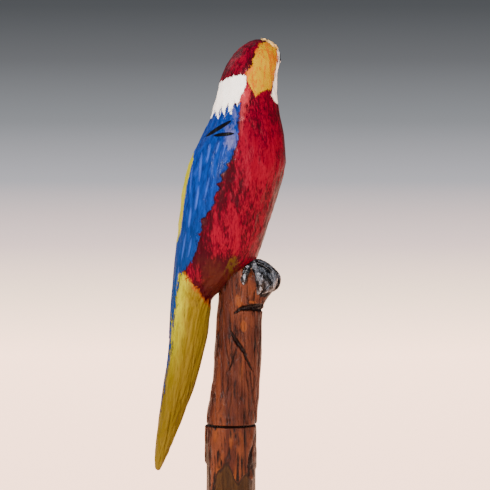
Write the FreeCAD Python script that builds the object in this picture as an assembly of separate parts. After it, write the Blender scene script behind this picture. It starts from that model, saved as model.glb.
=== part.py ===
import FreeCAD, Part
import math
import os
from FreeCAD import Vector

# Carved walking stick: a painted macaw perched on the knob of a brown wooden stick.
#
# Millimetres.  +Z runs up the stick, +X is the way the bird's breast faces, and the origin is
# the centre of the rubber tip where it meets the ground.  The macaw looks to its left, over +Y.
#
# The stick comes apart in two places.  The carved top unscrews at a dark ring below the perch,
# on a metal stud that turns into a brass insert, and the rubber tip pulls off the lower end.

# ---- driving dimensions -------------------------------------------------------------------
joint_height = 705.0            # the ring where the carved top meets the shaft, 209 below the crown
joint_radius = 14.0             # stick radius at that ring
foot_radius = 11.0              # stick radius inside the rubber tip
touching_gap = 0.3              # between faces of pieces that move apart
sliding_gap = 0.05              # between a pin and its hole

# rubber tip
tip_height = 36.0
tip_floor = 7.0                 # rubber under the steel washer
tip_base_radius = 17.0
tip_top_radius = 13.6
tip_lip = 0.8                   # the rolled rim stands this far out
washer_thickness = 1.2
washer_radius = foot_radius - 0.6

# screw joint
stud_radius = 5.0               # M10
thread_pitch = 1.5
thread_depth = 0.8
stud_below = 12.4               # engaged in the insert, eight turns
stud_above = 26.0               # driven into the carved top
insert_radius = 7.6
insert_length = 18.0
insert_floor = 2.0              # the closed lower end
insert_ribs = 7
rib_depth = 0.7
coarse_pitch = 2.6              # wood thread on the stud's upper half
coarse_turns = 8
collar_height = 1.6             # plain part of the stud above the ring
ring_chamfer = 1.1              # bevel that makes the dark ring

# bird
bird_base = joint_height        # bird heights are counted from the ring
wing_depth = 2.6                # how deep a wing is let into the body
wing_relief = 0.7               # how far it stands above the body
wing_low, wing_high = 46.0, 185.0
wing_gap = 0.4                  # each wing stops this far from the middle plane
head_yaw = math.radians(70.0)   # the head is turned this far to the bird's left
head_x, head_y = 12.2, 5.4      # middle of the head, seen from above
head_depth_x = 13.9             # from there to its surface, along x and along y, at the eyes
head_depth_y = 15.7
eye_turn = math.radians(62.0)   # each eye is this far round from the beak
eye_height = 198.0
eye_radius = 2.5
eye_sunk = 1.3                  # the bead's middle lies this far under the surface
eye_pin_radius, eye_pin_length = 0.5, 7.0
knob_x, knob_z, knob_radius = 14.0, joint_height + 76.0, 12.5
grip_yaw = math.radians(-20.0)  # the feet grip the knob a little to the bird's right
ankle_spread = math.radians(62.0)
ankle_lean = math.radians(24.0)
ankle_radius = 3.4
toe_radius = 2.0
toe_spreads = (18.0, 60.0)      # degrees round from the middle of the grip
toe_drop = math.radians(-22.0)  # how far below the knob's middle the claws reach
toe_bend = knob_radius + 0.5
dowel_radius, dowel_length = 4.0, 42.0
dowel_x, dowel_low = 3.0, 62.0  # its lower end, height above the ring
tail_pin_radius, tail_pin_length = 1.5, 20.0
tail_pin_x, tail_pin_low, tail_pin_y = -26.5, 68.0, 6.0
tail_pin_way = (0.64, 0.0, 0.77)

# the carved form from the tip of the tail to the crown, in level sections:
# height above the ring, back x, front x, half width along y, shift along y, taper
# (a taper above 0 makes the section wider at the back than at the front)
bird_rings = [
    (-25.0, -40.6, -38.2, 0.9, 0.0, 0.0),
    (-22.5, -41.7, -36.9, 2.4, 0.0, 0.1),
    (-14.0, -41.4, -32.9, 4.4, 0.0, 0.3),
    (-5.4, -40.5, -29.2, 5.8, 0.0, 0.4),
    (3.2, -39.4, -25.9, 6.9, 0.0, 0.4),
    (11.9, -38.3, -23.2, 7.8, 0.0, 0.4),
    (20.5, -37.0, -20.6, 8.6, 0.0, 0.4),
    (33.5, -35.0, -17.3, 9.6, 0.0, 0.4),
    (46.5, -33.8, -14.4, 10.5, 0.0, 0.35),
    (57.0, -32.9, -12.8, 11.4, 0.0, 0.3),
    (66.0, -32.1, -11.4, 12.8, 0.0, 0.25),
    (72.0, -31.4, -8.4, 14.6, 0.0, 0.2),
    (77.0, -30.9, -1.4, 16.6, 0.0, 0.15),
    (82.0, -30.5, 6.4, 18.6, 0.0, 0.1),
    (88.0, -30.0, 12.6, 20.4, 0.0, 0.05),
    (94.0, -29.4, 15.4, 21.6, 0.0, 0.0),
    (102.6, -28.7, 18.4, 22.8, 0.0, 0.0),
    (111.3, -28.1, 21.1, 23.6, 0.0, 0.0),
    (120.0, -27.1, 23.9, 24.2, 0.0, 0.0),
    (128.5, -25.9, 26.6, 24.5, 0.0, 0.0),
    (137.2, -23.7, 29.0, 24.4, 0.0, 0.0),
    (145.8, -20.5, 29.6, 23.5, 0.0, 0.0),
    (154.5, -16.3, 28.7, 21.8, 0.0, 0.0),
    (163.1, -12.2, 27.2, 19.8, 0.2, 0.0),
    (171.7, -9.2, 25.6, 18.0, 0.7, 0.0),
    (180.4, -7.0, 24.6, 17.0, 1.6, 0.0),
    (189.0, -4.9, 24.6, 16.6, 3.2, 0.0),
    (196.0, -1.7, 26.1, 16.2, 5.2, 0.0),
    (202.0, 2.4, 26.0, 14.4, 6.8, 0.0),
    (206.3, 7.4, 23.4, 10.6, 7.4, 0.0),
    (209.0, 12.0, 18.8, 4.4, 7.6, 0.0),
]

# the saw cut between tail and rump, seen from the side: a height above the ring at each x
tail_cut = [(-45.0, 98.0), (-27.0, 84.0), (-20.0, 75.0), (-13.5, 64.6), (-5.0, 62.0)]
tail_cut_width = 40.0
tail_floor = -40.0              # below the lowest point of the tail
tail_back = -60.0               # behind the bird

# wing outline seen from the bird's side: x, height above the ring
wing_front = [(4.5, 169.0), (4.1, 160.0), (2.6, 149.0), (-2.2, 139.0), (-6.6, 128.0),
              (-10.4, 117.0), (-15.7, 110.5), (-17.9, 103.0), (-19.0, 94.0), (-24.0, 85.5)]
wing_lower = [(-27.2, 80.5), (-28.6, 72.5), (-30.2, 64.0), (-35.0, 47.5)]
wing_rear = [(-38.0, 47.5), (-38.0, 92.0), (-30.4, 92.5), (-27.0, 106.0), (-25.6, 115.6), (-23.9, 128.5),
             (-21.4, 138.5), (-17.0, 149.0), (-12.2, 158.5), (-8.4, 165.0), (-4.0, 170.5)]

# height above the ring, middle x, radius of the carved perch
perch_rings = [
    (0.0, 0.3, 14.0),
    (7.5, 0.9, 13.6),
    (16.0, 2.2, 13.4),
    (29.0, 3.2, 13.1),
    (42.0, 3.9, 13.0),
    (55.0, 4.5, 12.6),
    (64.0, 4.9, 12.4),
    (78.0, 5.6, 12.2),
    (84.0, 6.0, 10.6),
]


def closed_curve(points):
    """A smooth closed wire through the points."""
    curve = Part.BSplineCurve()
    curve.interpolate(Points=points, PeriodicFlag=True)
    return Part.Wire(curve.toShape())


oval_points = 16
horn_points = 12


def section(height, back, front, half_width, shift=0.0, taper=0.0):
    """A level oval, started on +X and run anticlockwise, so that every one matches the next."""
    middle, half_depth = (back + front) / 2.0, (front - back) / 2.0
    points = []
    for i in range(oval_points):
        turn = 2.0 * math.pi * i / oval_points
        width = half_width * (1.0 - taper * math.cos(turn))
        points.append(Vector(middle + half_depth * math.cos(turn),
                             shift + width * math.sin(turn),
                             bird_base + height))
    return closed_curve(points)


def loft(wires):
    """A closed solid through the wires."""
    solid = Part.makeLoft(wires, True, False, False)
    if solid.Volume < 0:
        solid.reverse()
    return solid


def bird_loft(rings, grow=0.0):
    """The bird's rounded form, made larger or smaller all round."""
    return loft([section(h, back - grow, front + grow, half_width + grow, shift, taper)
                 for h, back, front, half_width, shift, taper in rings])


def head_point(forward, sideways, height):
    """A point in the head's own directions: forward along the beak, sideways to its right."""
    ahead = Vector(math.cos(head_yaw), math.sin(head_yaw), 0.0)
    right = Vector(math.sin(head_yaw), -math.cos(head_yaw), 0.0)
    return Vector(head_x, head_y, bird_base + height) + ahead * forward + right * sideways


def horn(path):
    """A tapered, bent solid.  Each stop is forward, height, half height, half width, tilt."""
    wires = []
    for forward, height, half_height, half_width, tilt in path:
        lean = math.radians(tilt)
        points = []
        for i in range(horn_points):
            turn = 2.0 * math.pi * i / horn_points
            up = half_height * math.sin(turn)
            points.append(head_point(forward + up * math.sin(lean),
                                     half_width * math.cos(turn),
                                     height + up * math.cos(lean)))
        wires.append(closed_curve(points))
    return loft(wires)


def turned(profile):
    """A solid of revolution about the stick's axis from radius and height pairs."""
    points = [Vector(radius, 0.0, height) for radius, height in profile]
    wire = Part.makePolygon(points + points[:1])
    return Part.Face(wire).revolve(Vector(0, 0, 0), Vector(0, 0, 1), 360.0)


def make_tip():
    """The rubber tip: a cup with a wide tread and two ring grooves in its sole."""
    bore = foot_radius + sliding_gap
    profile = [
        (0.0, 0.0), (5.0, 0.0), (6.0, 1.5), (8.0, 1.5), (9.0, 0.0),
        (11.5, 0.0), (12.5, 1.5), (14.0, 1.5), (15.0, 0.0), (tip_base_radius - 1.0, 0.0),
        (tip_base_radius, 1.2), (tip_base_radius, 5.0), (tip_base_radius - 1.6, 9.0),
        (tip_top_radius, 16.0), (tip_top_radius, tip_height - 4.0),
        (tip_top_radius + tip_lip, tip_height - 3.0), (tip_top_radius + tip_lip, tip_height - 1.0),
        (tip_top_radius - 0.2, tip_height), (bore, tip_height),
        (bore, tip_floor + washer_thickness), (washer_radius, tip_floor + washer_thickness),
        (washer_radius, tip_floor), (0.0, tip_floor),
    ]
    return turned(profile)


def make_washer():
    """The steel disc that keeps the wood from cutting through the rubber."""
    return Part.makeCylinder(washer_radius, washer_thickness, Vector(0, 0, tip_floor))


def make_shaft():
    """The plain lower stick, with a pocket in its top end for the insert."""
    start = tip_floor + washer_thickness + touching_gap
    plug_top = tip_height + 1.0
    profile = [
        (0.0, start), (foot_radius - 1.0, start), (foot_radius, start + 1.0),
        (foot_radius, plug_top), (joint_radius - 0.15, joint_height - ring_chamfer - 0.1),
        (joint_radius - ring_chamfer, joint_height), (insert_radius, joint_height),
        (insert_radius, joint_height - insert_length),
        (0.0, joint_height - insert_length),
    ]
    return turned(profile)


def make_insert():
    """The brass insert: a ribbed sleeve that holds the stud's thread."""
    bore = stud_radius + sliding_gap
    low = joint_height - insert_length
    high = joint_height - 0.4
    profile = [(bore, low + insert_floor), (0.0, low + insert_floor), (0.0, low), (insert_radius, low)]
    rise = (high - low - 2.0) / insert_ribs
    for i in range(insert_ribs):
        foot = low + 1.0 + i * rise
        profile += [(insert_radius, foot), (insert_radius - rib_depth, foot + 0.3 * rise),
                    (insert_radius - rib_depth, foot + 0.6 * rise)]
    profile += [(insert_radius, high - 1.0), (insert_radius, high), (bore, high)]
    return turned(profile)


def make_stud():
    """The hanger stud.  Rings stand for its thread, above and below the ring joint."""
    low = joint_height - stud_below
    high = joint_height + stud_above
    root = stud_radius - thread_depth
    profile = [(0.0, low), (root, low)]
    turns = int(stud_below / thread_pitch)
    for i in range(turns):
        foot = low + i * thread_pitch
        profile += [(stud_radius, foot + 0.45 * thread_pitch),
                    (stud_radius, foot + 0.6 * thread_pitch),
                    (root, foot + thread_pitch)]
    start = joint_height + collar_height
    profile += [(root, joint_height - 0.2), (stud_radius, joint_height), (stud_radius, start)]
    for i in range(coarse_turns):
        foot = start + i * coarse_pitch
        profile += [(root, foot + 0.5 * coarse_pitch), (stud_radius, foot + coarse_pitch)]
    profile += [(1.0, high), (0.0, high)]
    return turned(profile)


def make_perch():
    """The carved top of the stick: a leaning post with the cut-off knob that the bird grips."""
    wires = []
    for height, middle_x, radius in perch_rings:
        lift = touching_gap if height == 0.0 else 0.0
        wires.append(section(height + lift, middle_x - radius, middle_x + radius, radius))
    post = loft(wires)
    knob = Part.makeSphere(knob_radius, Vector(knob_x, 0.0, knob_z))
    return post.fuse(knob).removeSplitter()


def side_prism(outline, near, far):
    """A straight-sided block over an outline of x and height, between two y planes."""
    points = [Vector(x, near, bird_base + h) for x, h in outline]
    return Part.Face(Part.makePolygon(points + points[:1])).extrude(Vector(0.0, far - near, 0.0))


def make_tail(bird):
    """The tail: the long lower end of the form, up to the slanting cut at the rump."""
    below = tail_cut + [(tail_cut[-1][0], tail_floor), (tail_back, tail_floor), (tail_back, tail_cut[0][1])]
    return largest(bird.common(side_prism(below, -tail_cut_width, tail_cut_width)))


def make_wings():
    """Both wings: shells let into the bird's sides, long and pointed, down over the tail."""
    margin = 8.0                # the inner form runs on past both ends of the outer one
    beside = 60.0               # clear of the widest part of the bird
    outside = bird_loft([ring for ring in bird_rings if wing_low < ring[0] < wing_high], wing_relief)
    inside = bird_loft([ring for ring in bird_rings
                        if wing_low - margin < ring[0] < wing_high + margin], -wing_depth)
    outline = wing_front + wing_lower + wing_rear
    right = largest(outside.cut(inside).common(side_prism(outline, -wing_gap, -beside)))
    left = largest(outside.cut(inside).common(side_prism(outline, wing_gap, beside)))
    return right, left


def largest(shape):
    """The biggest solid of a cut, without crumbs."""
    return max(shape.Solids, key=lambda solid: solid.Volume)


def make_beak():
    """Upper and lower beak, each a bent horn glued to the face."""
    upper = horn([
        (11.0, 197.0, 7.0, 6.4, 0.0),
        (17.0, 197.4, 6.6, 5.8, 12.0),
        (21.6, 194.0, 5.4, 4.7, 45.0),
        (23.8, 188.0, 4.0, 3.4, 78.0),
        (23.4, 181.5, 2.5, 2.1, 98.0),
        (21.8, 176.0, 0.8, 0.7, 110.0),
    ])
    lower = horn([
        (11.0, 187.5, 3.6, 4.6, 0.0),
        (15.5, 186.4, 3.0, 3.8, 20.0),
        (18.2, 183.4, 1.9, 2.6, 50.0),
        (19.0, 181.0, 0.8, 1.2, 70.0),
    ])
    return upper, lower.cut(upper)


def make_eye(side):
    """A glass bead on a wire pin.  side is +1 for the bird's right eye."""
    yaw = head_yaw - side * eye_turn
    outward = Vector(math.cos(yaw), math.sin(yaw), 0.0)
    middle = Vector(head_x, head_y, bird_base + eye_height)
    reach = 1.0 / math.hypot(outward.x / head_depth_x, outward.y / head_depth_y)
    bead = Part.makeSphere(eye_radius, middle + outward * (reach - eye_sunk))
    pin_start = middle + outward * (reach - eye_sunk - eye_radius - eye_pin_length + 1.0)
    pin = Part.makeCylinder(eye_pin_radius, eye_pin_length, pin_start, outward)
    return bead.fuse(pin).removeSplitter()


def make_foot(side, perch):
    """Two forward toes bent over the knob, joined at the ankle.  side is +1 for the right foot."""
    middle = Vector(knob_x, 0.0, knob_z)
    ankle_yaw = grip_yaw - side * ankle_spread
    ankle_way = Vector(math.cos(ankle_yaw) * math.sin(ankle_lean),
                       math.sin(ankle_yaw) * math.sin(ankle_lean), math.cos(ankle_lean))
    foot = Part.makeSphere(ankle_radius, middle + ankle_way * toe_bend)
    for spread in toe_spreads:
        yaw = grip_yaw - side * math.radians(spread)
        tip_way = Vector(math.cos(yaw) * math.cos(toe_drop), math.sin(yaw) * math.cos(toe_drop),
                         math.sin(toe_drop))
        axis = ankle_way.cross(tip_way)
        axis.normalize()
        reach = math.degrees(ankle_way.getAngle(tip_way))
        toe = Part.makeTorus(toe_bend, toe_radius, Vector(0, 0, 0), Vector(0, 0, 1), 0, 360, reach)
        frame = FreeCAD.Matrix()
        across = axis.cross(ankle_way)
        frame.A11, frame.A21, frame.A31 = ankle_way.x, ankle_way.y, ankle_way.z
        frame.A12, frame.A22, frame.A32 = across.x, across.y, across.z
        frame.A13, frame.A23, frame.A33 = axis.x, axis.y, axis.z
        toe = toe.transformGeometry(frame)
        toe.translate(middle)
        claw = Part.makeSphere(toe_radius, middle + tip_way * toe_bend)
        foot = foot.fuse(toe).fuse(claw)
    return foot.cut(perch)


def make_pins():
    """The glued dowels inside: one up through the perch, and two square to the tail's cut."""
    body_dowel = Part.makeCylinder(dowel_radius, dowel_length, Vector(dowel_x, 0.0, bird_base + dowel_low))
    tail_pins = []
    for y in (-tail_pin_y, tail_pin_y):
        start = Vector(tail_pin_x, y, bird_base + tail_pin_low)
        tail_pins.append(Part.makeCylinder(tail_pin_radius, tail_pin_length, start, Vector(*tail_pin_way)))
    return body_dowel, Part.makeCompound(tail_pins)


def main():
    os.makedirs("parts", exist_ok=True)
    perch = make_perch()
    bird = bird_loft(bird_rings)
    tail = make_tail(bird)
    right_wing, left_wing = make_wings()
    upper_beak, lower_beak = make_beak()
    right_eye, left_eye = make_eye(1), make_eye(-1)
    body_dowel, tail_pins = make_pins()
    stud_hole = Part.makeCylinder(stud_radius + sliding_gap, stud_above + touching_gap,
                                  Vector(0, 0, joint_height))

    body = bird
    for piece in (tail, perch, right_wing, left_wing, right_eye, left_eye, body_dowel, tail_pins):
        body = body.cut(piece)
    body = largest(body)
    upper_beak = largest(upper_beak.cut(body))
    lower_beak = largest(lower_beak.cut(body))
    feet = [largest(make_foot(side, perch).cut(body)) for side in (1, -1)]
    feet[1] = largest(feet[1].cut(feet[0]))
    tail = largest(tail.cut(right_wing).cut(left_wing).cut(tail_pins).cut(perch))
    perch = largest(perch.cut(body_dowel).cut(stud_hole))

    nodes = {
        "shaft": make_shaft(),
        "joint_insert": make_insert(),
        "joint_stud": make_stud(),
        "rubber_tip": make_tip(),
        "tip_washer": make_washer(),
        "perch_post": perch,
        "macaw_body": body,
        "right_wing": right_wing,
        "left_wing": left_wing,
        "tail_board": tail,
        "upper_beak": upper_beak,
        "lower_beak": lower_beak,
        "right_eye": right_eye,
        "left_eye": left_eye,
        "right_foot": feet[0],
        "left_foot": feet[1],
        "body_dowel": body_dowel,
        "tail_pins": tail_pins,
    }
    for name, shape in nodes.items():
        box = shape.BoundBox
        print(f"{name:14s} valid {shape.isValid()} solids {len(shape.Solids)} faces {len(shape.Faces)} "
              f"volume {shape.Volume:9.1f}  x {box.XMin:6.1f} {box.XMax:6.1f}  "
              f"y {box.YMin:6.1f} {box.YMax:6.1f}  z {box.ZMin:6.1f} {box.ZMax:6.1f}")
        shape.exportStep(os.path.join("parts", name + ".step"))


main()
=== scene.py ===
import bpy
import math
import numpy as np
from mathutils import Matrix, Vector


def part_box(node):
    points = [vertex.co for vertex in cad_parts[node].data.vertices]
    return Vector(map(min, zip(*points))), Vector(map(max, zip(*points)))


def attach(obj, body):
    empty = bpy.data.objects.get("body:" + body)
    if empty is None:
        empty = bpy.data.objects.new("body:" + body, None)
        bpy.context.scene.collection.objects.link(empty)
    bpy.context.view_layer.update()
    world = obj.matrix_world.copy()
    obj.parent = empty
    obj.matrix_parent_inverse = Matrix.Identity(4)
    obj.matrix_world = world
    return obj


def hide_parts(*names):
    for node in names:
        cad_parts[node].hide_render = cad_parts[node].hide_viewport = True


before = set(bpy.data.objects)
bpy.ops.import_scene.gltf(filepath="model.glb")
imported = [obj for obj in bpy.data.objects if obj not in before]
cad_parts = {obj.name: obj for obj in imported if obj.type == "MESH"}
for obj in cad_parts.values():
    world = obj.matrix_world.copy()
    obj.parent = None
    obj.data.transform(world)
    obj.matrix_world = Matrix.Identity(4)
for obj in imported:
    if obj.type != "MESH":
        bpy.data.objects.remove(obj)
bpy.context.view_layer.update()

# shapes are worked out in millimetres, with heights counted from the ring where the stick unscrews
mm = 0.001
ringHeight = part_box("shaft")[1][2] / mm
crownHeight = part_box("macaw_body")[1][2] / mm - ringHeight


def through(knots, values, at):
    # cubic Hermite curve through the knots, its slopes the central differences
    knots, values = np.asarray(knots, float), np.asarray(values, float)
    slope = np.gradient(values, knots)
    i = np.clip(np.searchsorted(knots, at) - 1, 0, len(knots) - 2)
    step = knots[i + 1] - knots[i]
    t = unit((at - knots[i]) / step)
    return ((2 * t**3 - 3 * t**2 + 1) * values[i] + (t**3 - 2 * t**2 + t) * step * slope[i]
            + (3 * t**2 - 2 * t**3) * values[i + 1] + (t**3 - t**2) * step * slope[i + 1])


def unit(value):
    return np.clip(value, 0, 1)


def bell(away, width):
    # 1 where away is 0, falling off smoothly over the width on either side
    return np.exp(-(away / width)**2)


def readOff(table, column, at):
    # a table's first column is where, and the others are values there
    return through(table[:, 0], table[:, column], at)


def ripple(points, size, seed, waves=24):
    # smooth random field, about -1 to 1: a sum of sine waves of that size along x, y and z
    rng = np.random.default_rng(seed)
    way = rng.normal(size=(3, waves))
    way /= np.linalg.norm(way, axis=0)
    length = rng.uniform(0.6, 1.6, waves)
    turn = 2 * math.pi * (points / np.asarray(size, float)) @ (way / length)
    return np.sin(turn + rng.uniform(0, 2 * math.pi, waves)).sum(-1) / math.sqrt(waves)


def outlineDistance(x, h, outline):
    # distance to a closed outline, positive inside: the nearest edge, signed by counting crossings
    inside = np.zeros(np.shape(x), bool)
    nearest = np.full(np.shape(x), 1e9)
    for (ax, ah), (bx, bh) in zip(outline, outline[1:] + outline[:1]):
        t = unit(((x - ax) * (bx - ax) + (h - ah) * (bh - ah)) / ((bx - ax)**2 + (bh - ah)**2))
        nearest = np.minimum(nearest, np.hypot(x - ax - t * (bx - ax), h - ah - t * (bh - ah)))
        inside ^= ((ah > h) != (bh > h)) & (x < (bx - ax) * (h - ah) / (bh - ah + 1e-9) + ax)
    return np.where(inside, nearest, -nearest)


def strokeDepth(x, h, strokes):
    # depth of gouged strokes: each a line with a rounded bottom that runs out at both ends
    depth = np.zeros(np.shape(x))
    for ax, ah, bx, bh, width, deep in strokes:
        t = ((x - ax) * (bx - ax) + (h - ah) * (bh - ah)) / ((bx - ax)**2 + (bh - ah)**2)
        away = np.hypot(x - ax - unit(t) * (bx - ax), h - ah - unit(t) * (bh - ah))
        fade = np.sqrt(np.clip(4.4 * unit(t) * (1 - unit(t)), 0.03, 1))
        depth = np.maximum(depth, deep * fade * unit(1 - (away / (width * fade))**2))
    return depth


def gridNormals(points, wrap=True):
    # across: the next column minus the last; up: the next row minus the last; normal: their cross product
    if wrap:
        across = np.roll(points, -1, 1) - np.roll(points, 1, 1)
    else:
        across = np.gradient(points, axis=1)
    normal = np.cross(across, np.gradient(points, axis=0))
    return normal / np.maximum(np.linalg.norm(normal, axis=-1, keepdims=True), 1e-9)


def gridFaces(rows, columns, wrap=True):
    # quads between neighbouring rows and columns, anticlockwise from outside
    r = np.arange(rows - 1)[:, None] * columns
    c = np.arange(columns if wrap else columns - 1)[None, :]
    n = (c + 1) % columns
    return np.stack([r + c, r + n, r + columns + n, r + columns + c], -1).reshape(-1, 4)


def tubeParts(points):
    # a wrapped grid closed at both ends by a fan onto the mean of its last row
    rows, columns = points.shape[:2]
    c = np.arange(columns)
    n = (c + 1) % columns
    low, high = rows * columns, rows * columns + 1
    top = (rows - 1) * columns
    verts = np.vstack([points.reshape(-1, 3), points[0].mean(0), points[-1].mean(0)])
    fans = np.vstack([np.stack([np.full(columns, low), n, c], -1),
                      np.stack([np.full(columns, high), top + c, top + n], -1)])
    return verts, gridFaces(rows, columns), fans


def buildMesh(name, verts, quads, fans=None):
    mesh = bpy.data.meshes.new(name)
    groups = [quads] if fans is None else [quads, fans]
    corners = np.concatenate([g.ravel() for g in groups]).astype(np.int32)
    counts = np.concatenate([np.full(len(g), g.shape[1]) for g in groups])
    mesh.vertices.add(len(verts))
    mesh.vertices.foreach_set("co", (verts * mm).astype(np.float32).ravel())
    mesh.loops.add(len(corners))
    mesh.loops.foreach_set("vertex_index", corners)
    mesh.polygons.add(len(counts))
    mesh.polygons.foreach_set("loop_start", (np.cumsum(counts) - counts).astype(np.int32))
    mesh.update(calc_edges=True)
    mesh.validate()
    mesh.polygons.foreach_set("use_smooth", np.ones(len(mesh.polygons), bool))
    piece = bpy.data.objects.new(name, mesh)
    bpy.context.scene.collection.objects.link(piece)
    return piece


def buildTube(name, points):
    verts, quads, fans = tubeParts(points)
    return buildMesh(name, verts, quads, fans), verts


def setFields(piece, fields):
    # one number per vertex under each name, for the paint to read
    for name, values in fields.items():
        made = piece.data.attributes.new(name, "FLOAT", "POINT")
        made.data.foreach_set("value", np.asarray(values, np.float32).ravel())


def finishPiece(piece, body, slot, material, *nodes):
    piece.data.materials.append(material)
    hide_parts(*nodes)
    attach(piece, body)
    return piece


def around(columns):
    # the turn of each column of a wrapped grid
    return np.linspace(0, 2 * math.pi, columns, endpoint=False)[None, :]


def turned(radius, height, turn):
    # x = radius cos turn; y = radius sin turn; z = height
    return np.stack([radius * np.cos(turn), radius * np.sin(turn), height + 0 * turn], -1)


def lift(points):
    # from heights above the ring to heights above the ground
    return points + np.array([0, 0, ringHeight])


def placeOf(points):
    # x, y and height above the ring
    return points[..., 0], points[..., 1], points[..., 2] - ringHeight


class Wire:
    # one socket; arithmetic on it adds Math nodes, and node() adds anything else
    def __init__(self, tree, socket=None):
        self.tree, self.socket = tree, socket

    def node(self, kind, settings=None, inputs=None, out=0):
        made = self.tree.nodes.new(kind)
        for key, value in (settings or {}).items():
            if key == "stops":
                ramp = made.color_ramp
                while len(ramp.elements) < len(value):
                    ramp.elements.new(0.5)
                for element, (place, colour) in zip(ramp.elements, value):
                    element.position, element.color = place, colour
            else:
                setattr(made, key, value)
        for key, value in (inputs or {}).items():
            if isinstance(value, Wire):
                self.tree.links.new(value.socket, made.inputs[key])
            else:
                made.inputs[key].default_value = value
        return Wire(self.tree, made.outputs[out] if made.outputs else None)

    def maths(self, operation, first, second=0.5, third=0.5, clamp=False):
        settings = {"operation": operation, "use_clamp": clamp}
        return self.node("ShaderNodeMath", settings, {0: first, 1: second, 2: third})

    def __add__(self, other):
        return self.maths("ADD", self, other)

    def __radd__(self, other):
        return self.maths("ADD", other, self)

    def __sub__(self, other):
        return self.maths("SUBTRACT", self, other)

    def __rsub__(self, other):
        return self.maths("SUBTRACT", other, self)

    def __mul__(self, other):
        return self.maths("MULTIPLY", self, other)

    def __rmul__(self, other):
        return self.maths("MULTIPLY", other, self)

    def __truediv__(self, other):
        return self.maths("DIVIDE", self, other)

    def edge(self, soft=1.0, middle=0.5):
        # 0 to 1 over a width of soft
        return self.maths("MULTIPLY_ADD", self, 1.0 / soft, middle, clamp=True)

    def size(self):
        return self.maths("ABSOLUTE", self)


def mixColours(mask, under, over):
    base = mask if isinstance(mask, Wire) else under
    return base.node("ShaderNodeMix", {"data_type": "RGBA"}, {0: mask, 6: under, 7: over}, out=2)


def layered(colour, *layers):
    # each layer, a mask and its colour, goes over the last
    for mask, over in layers:
        colour = mixColours(mask, colour, over)
    return colour


def noise(place, scale, detail=3.0, rough=0.55, twist=0.0):
    # noise about 0, roughly -0.5 to 0.5
    made = place.node("ShaderNodeTexNoise", {"noise_dimensions": "3D"},
                      {"Vector": place, "Scale": scale, "Detail": detail, "Roughness": rough,
                       "Distortion": twist})
    return made - 0.5


def stretched(sheet, squash, turn=(0, 0, 0)):
    # Object coordinates squeezed along each axis, so that noise draws out into strokes
    place = sheet.node("ShaderNodeTexCoord", out=3)
    return sheet.node("ShaderNodeMapping", {"vector_type": "POINT"},
                      {"Vector": place, "Scale": squash, "Rotation": turn})


def drawn(sheet, squash, *settings, turn=(0, 0, 0)):
    # noise drawn out along z into strokes, the longer the smaller squash is
    return noise(stretched(sheet, (1, 1, squash), turn), *settings)


def newMaterial(name):
    material = bpy.data.materials.new(name)
    material.use_nodes = True
    material.node_tree.nodes.clear()
    return material, Wire(material.node_tree)


def finishMaterial(sheet, settings, colour, rough, height=None, depth=0.0003, coat=None):
    # the shader's own constants come from settings, and only varying inputs are linked
    inputs = {"Base Color": colour, "Roughness": rough}
    inputs.update(settings)
    if coat is not None:
        inputs["Coat Weight"] = coat
    if height is not None:
        inputs["Normal"] = sheet.node("ShaderNodeBump", {}, {"Height": height, "Distance": depth,
                                                             "Strength": 1.0})
    shader = sheet.node("ShaderNodeBsdfPrincipled", {}, inputs)
    sheet.node("ShaderNodeOutputMaterial", {}, {"Surface": shader})


def field(sheet, name):
    return sheet.node("ShaderNodeAttribute", {"attribute_name": name}, out=2)


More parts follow.
